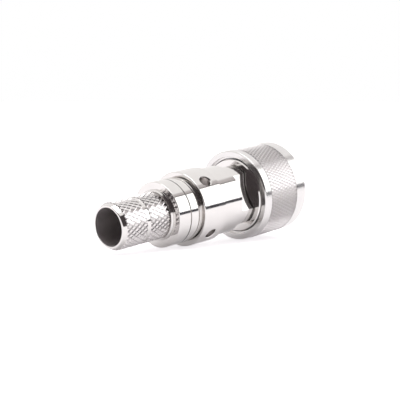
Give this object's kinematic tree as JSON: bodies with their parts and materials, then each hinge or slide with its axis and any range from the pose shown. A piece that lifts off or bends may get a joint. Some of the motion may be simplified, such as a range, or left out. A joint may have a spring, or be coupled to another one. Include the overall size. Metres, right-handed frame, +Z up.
{
  "type": "uhf coaxial plug",
  "caption": "Straight coaxial plug with a threaded coupling nut, a solder and wrench barrel and a knurled crimp stem.",
  "frame": {"origin": "on the surface that the plug lies on, under the middle of its length", "axes": "+Z up; the plug lies on its side along X with its mating end towards +X, and its axis rises towards +X by 6.6 degrees because it rests on the rear corners of the barrel and of the nut"},
  "size_m": [0.0518, 0.0184, 0.0195],
  "materials": {
    "nickel_plated_brass": "bright nickel plate",
    "spring_steel": "bright spring steel",
    "white_ptfe": "turned PTFE",
    "silver_plated_brass": "silver plate"
  },
  "bodies": {
    "plug": {"crimp_stem": "nickel_plated_brass", "plug_body": "nickel_plated_brass", "front_insulator": "white_ptfe", "contact_pin": "silver_plated_brass"},
    "ring": {"retaining_ring": "spring_steel"},
    "nut": {"coupling_nut": "nickel_plated_brass"}
  },
  "joints": [
    {"name": "nut_travel", "type": "slide", "parent": "plug", "child": "ring", "axis": [0.9934, 0, 0.1151], "range_m": [-0.001, 0]},
    {"name": "nut_turn", "type": "hinge", "parent": "ring", "child": "nut", "pos_m": [0.01375, 0, 0.00974], "axis": [0.9934, 0, 0.1151], "continuous": true}
  ]
}
